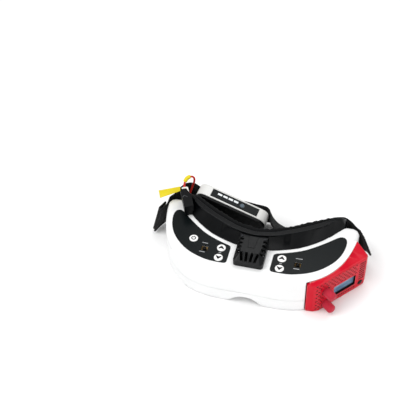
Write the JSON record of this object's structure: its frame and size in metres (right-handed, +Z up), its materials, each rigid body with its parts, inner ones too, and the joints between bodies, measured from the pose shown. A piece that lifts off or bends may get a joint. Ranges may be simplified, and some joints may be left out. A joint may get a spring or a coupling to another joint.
{
  "type": "fpv goggles",
  "caption": "Drone pilot's video goggles: crescent shell, foam-lined face plate, top controls, fan, sliding eyepieces, receiver bay cover and a battery case on the head strap.",
  "frame": {"origin": "middle of the bounding box's base, on the table the goggles lie on", "axes": "+X towards the wearer's left, +Y back towards the wearer's face, +Z up"},
  "size_m": [0.2212, 0.115, 0.0612],
  "materials": {
    "white_shell": "satin",
    "black_plastic": "fine matt",
    "black_panel": "gloss",
    "red_cover": "satin",
    "red_rubber": "matt",
    "foam_fabric": "short pile",
    "strap_webbing": "woven",
    "button_white": "satin",
    "button_grey": "matt",
    "board": "satin",
    "metal": "bright",
    "gold": "bright",
    "screw_black": "black oxide",
    "glass": "clear",
    "screen": "lit grey-blue",
    "display": "dark",
    "plug_white": "satin",
    "wire_red": "satin",
    "yellow": "satin",
    "cell": "foil"
  },
  "bodies": {
    "goggles": {"antenna_socket_high": "gold", "antenna_socket_low": "gold", "av_jack": "black_plastic", "balance_plug": "plug_white", "battery_lead": "wire_red", "buckle_left": "black_plastic", "buckle_right": "black_plastic", "card_socket": "metal", "case_label": "black_panel", "case_lid": "black_plastic", "case_shell": "white_shell", "cell_1": "cell", "cell_2": "cell", "control_panel_left": "black_panel", "control_panel_right": "black_panel", "eyepiece_cover": "black_plastic", "face_plate": "black_plastic", "fan_housing": "black_plastic", "fan_screw_left": "screw_black", "fan_screw_right": "screw_black", "foam_pad": "foam_fabric", "lead_tag": "yellow", "lead_wrap": "yellow", "lower_shell": "white_shell", "main_board": "board", "power_block": "black_plastic", "power_jack": "black_plastic", "receiver_module": "black_plastic", "receiver_screen": "screen", "socket_cover": "white_shell", "stick_frame_left": "gold", "stick_frame_right": "gold", "strap": "strap_webbing", "upper_shell": "white_shell"},
    "memory_card": {"memory_card": "black_plastic"},
    "fan_rotor": {"fan_rotor": "black_plastic"},
    "case_button": {"case_button": "button_grey"},
    "bay_cover": {"bay_cover": "red_cover"},
    "receiver_button": {"receiver_button": "black_plastic"},
    "stick_gimbal_right": {"stick_gimbal_right": "black_plastic"},
    "stick_cup_right": {"stick_cup_right": "black_plastic"},
    "stick_cap_right": {"stick_cap_right": "black_plastic"},
    "eyepiece_right": {"eyepiece_right": "black_plastic", "lens_right": "glass", "display_right": "display"},
    "button_up_right": {"button_up_right": "button_white"},
    "button_down_right": {"button_down_right": "button_white"},
    "stick_gimbal_left": {"stick_gimbal_left": "black_plastic"},
    "stick_cup_left": {"stick_cup_left": "black_plastic"},
    "stick_cap_left": {"stick_cap_left": "black_plastic"},
    "eyepiece_left": {"eyepiece_left": "black_plastic", "lens_left": "glass", "display_left": "display"},
    "button_up_left": {"button_up_left": "button_white"},
    "button_down_left": {"button_down_left": "button_white"},
    "button_enter_right": {"button_enter_right": "button_white"},
    "antenna_cap_low": {"antenna_cap_low": "red_rubber"},
    "antenna_cap_high": {"antenna_cap_high": "red_rubber"}
  },
  "joints": [
    {"name": "press_up_right", "type": "slide", "parent": "goggles", "child": "button_up_right", "axis": [0, 0, -1], "range_m": [0, 0.0005], "stiffness_N_per_m": 400},
    {"name": "press_down_right", "type": "slide", "parent": "goggles", "child": "button_down_right", "axis": [0, 0, -1], "range_m": [0, 0.0005], "stiffness_N_per_m": 400},
    {"name": "press_enter_right", "type": "slide", "parent": "goggles", "child": "button_enter_right", "axis": [0, 0, -1], "range_m": [0, 0.0005], "stiffness_N_per_m": 400},
    {"name": "press_up_left", "type": "slide", "parent": "goggles", "child": "button_up_left", "axis": [0, 0, -1], "range_m": [0, 0.0005], "stiffness_N_per_m": 400},
    {"name": "press_down_left", "type": "slide", "parent": "goggles", "child": "button_down_left", "axis": [0, 0, -1], "range_m": [0, 0.0005], "stiffness_N_per_m": 400},
    {"name": "stick_forward_right", "type": "hinge", "parent": "goggles", "child": "stick_gimbal_right", "pos_m": [-0.04276, -0.03325, 0.0396], "axis": [1, 0, 0], "range_deg": [-6, 6], "stiffness_Nm_per_rad": 0.02},
    {"name": "stick_sideways_right", "type": "hinge", "parent": "stick_gimbal_right", "child": "stick_cup_right", "pos_m": [-0.04276, -0.03325, 0.0396], "axis": [0, 1, 0], "range_deg": [-6, 6], "stiffness_Nm_per_rad": 0.02},
    {"name": "stick_press_right", "type": "slide", "parent": "stick_cup_right", "child": "stick_cap_right", "axis": [0, 0, -1], "range_m": [0, 0.0003], "stiffness_N_per_m": 300},
    {"name": "eye_spacing_right", "type": "slide", "parent": "goggles", "child": "eyepiece_right", "axis": [1, 0, 0], "range_m": [-0.004, 0.004]},
    {"name": "stick_forward_left", "type": "hinge", "parent": "goggles", "child": "stick_gimbal_left", "pos_m": [0.04604, -0.03325, 0.0396], "axis": [1, 0, 0], "range_deg": [-6, 6], "stiffness_Nm_per_rad": 0.02},
    {"name": "stick_sideways_left", "type": "hinge", "parent": "stick_gimbal_left", "child": "stick_cup_left", "pos_m": [0.04604, -0.03325, 0.0396], "axis": [0, 1, 0], "range_deg": [-6, 6], "stiffness_Nm_per_rad": 0.02},
    {"name": "stick_press_left", "type": "slide", "parent": "stick_cup_left", "child": "stick_cap_left", "axis": [0, 0, -1], "range_m": [0, 0.0003], "stiffness_N_per_m": 300},
    {"name": "eye_spacing_left", "type": "slide", "parent": "goggles", "child": "eyepiece_left", "axis": [1, 0, 0], "range_m": [-0.004, 0.004]},
    {"name": "fan_spin", "type": "hinge", "parent": "goggles", "child": "fan_rotor", "pos_m": [0.00164, -0.03165, 0.0468], "axis": [0, 0, 1], "continuous": true},
    {"name": "card_out", "type": "slide", "parent": "goggles", "child": "memory_card", "axis": [-1, 0, 0], "range_m": [0, 0.012]},
    {"name": "cover_off", "type": "slide", "parent": "goggles", "child": "bay_cover", "axis": [0.7549, -0.6559, 0], "range_m": [0, 0.02]},
    {"name": "receiver_press", "type": "slide", "parent": "goggles", "child": "receiver_button", "axis": [-0.7549, 0.6559, 0], "range_m": [0, 0.0005], "stiffness_N_per_m": 300},
    {"name": "case_press", "type": "slide", "parent": "goggles", "child": "case_button", "axis": [-0.2229, 0.2625, -0.9388], "range_m": [0, 0.0004], "stiffness_N_per_m": 300},
    {"name": "cap_off_low", "type": "slide", "parent": "goggles", "child": "antenna_cap_low", "axis": [0.7549, -0.6559, 0], "range_m": [0, 0.015]},
    {"name": "cap_off_high", "type": "slide", "parent": "goggles", "child": "antenna_cap_high", "axis": [0.7549, -0.6559, 0], "range_m": [0, 0.015]}
  ]
}
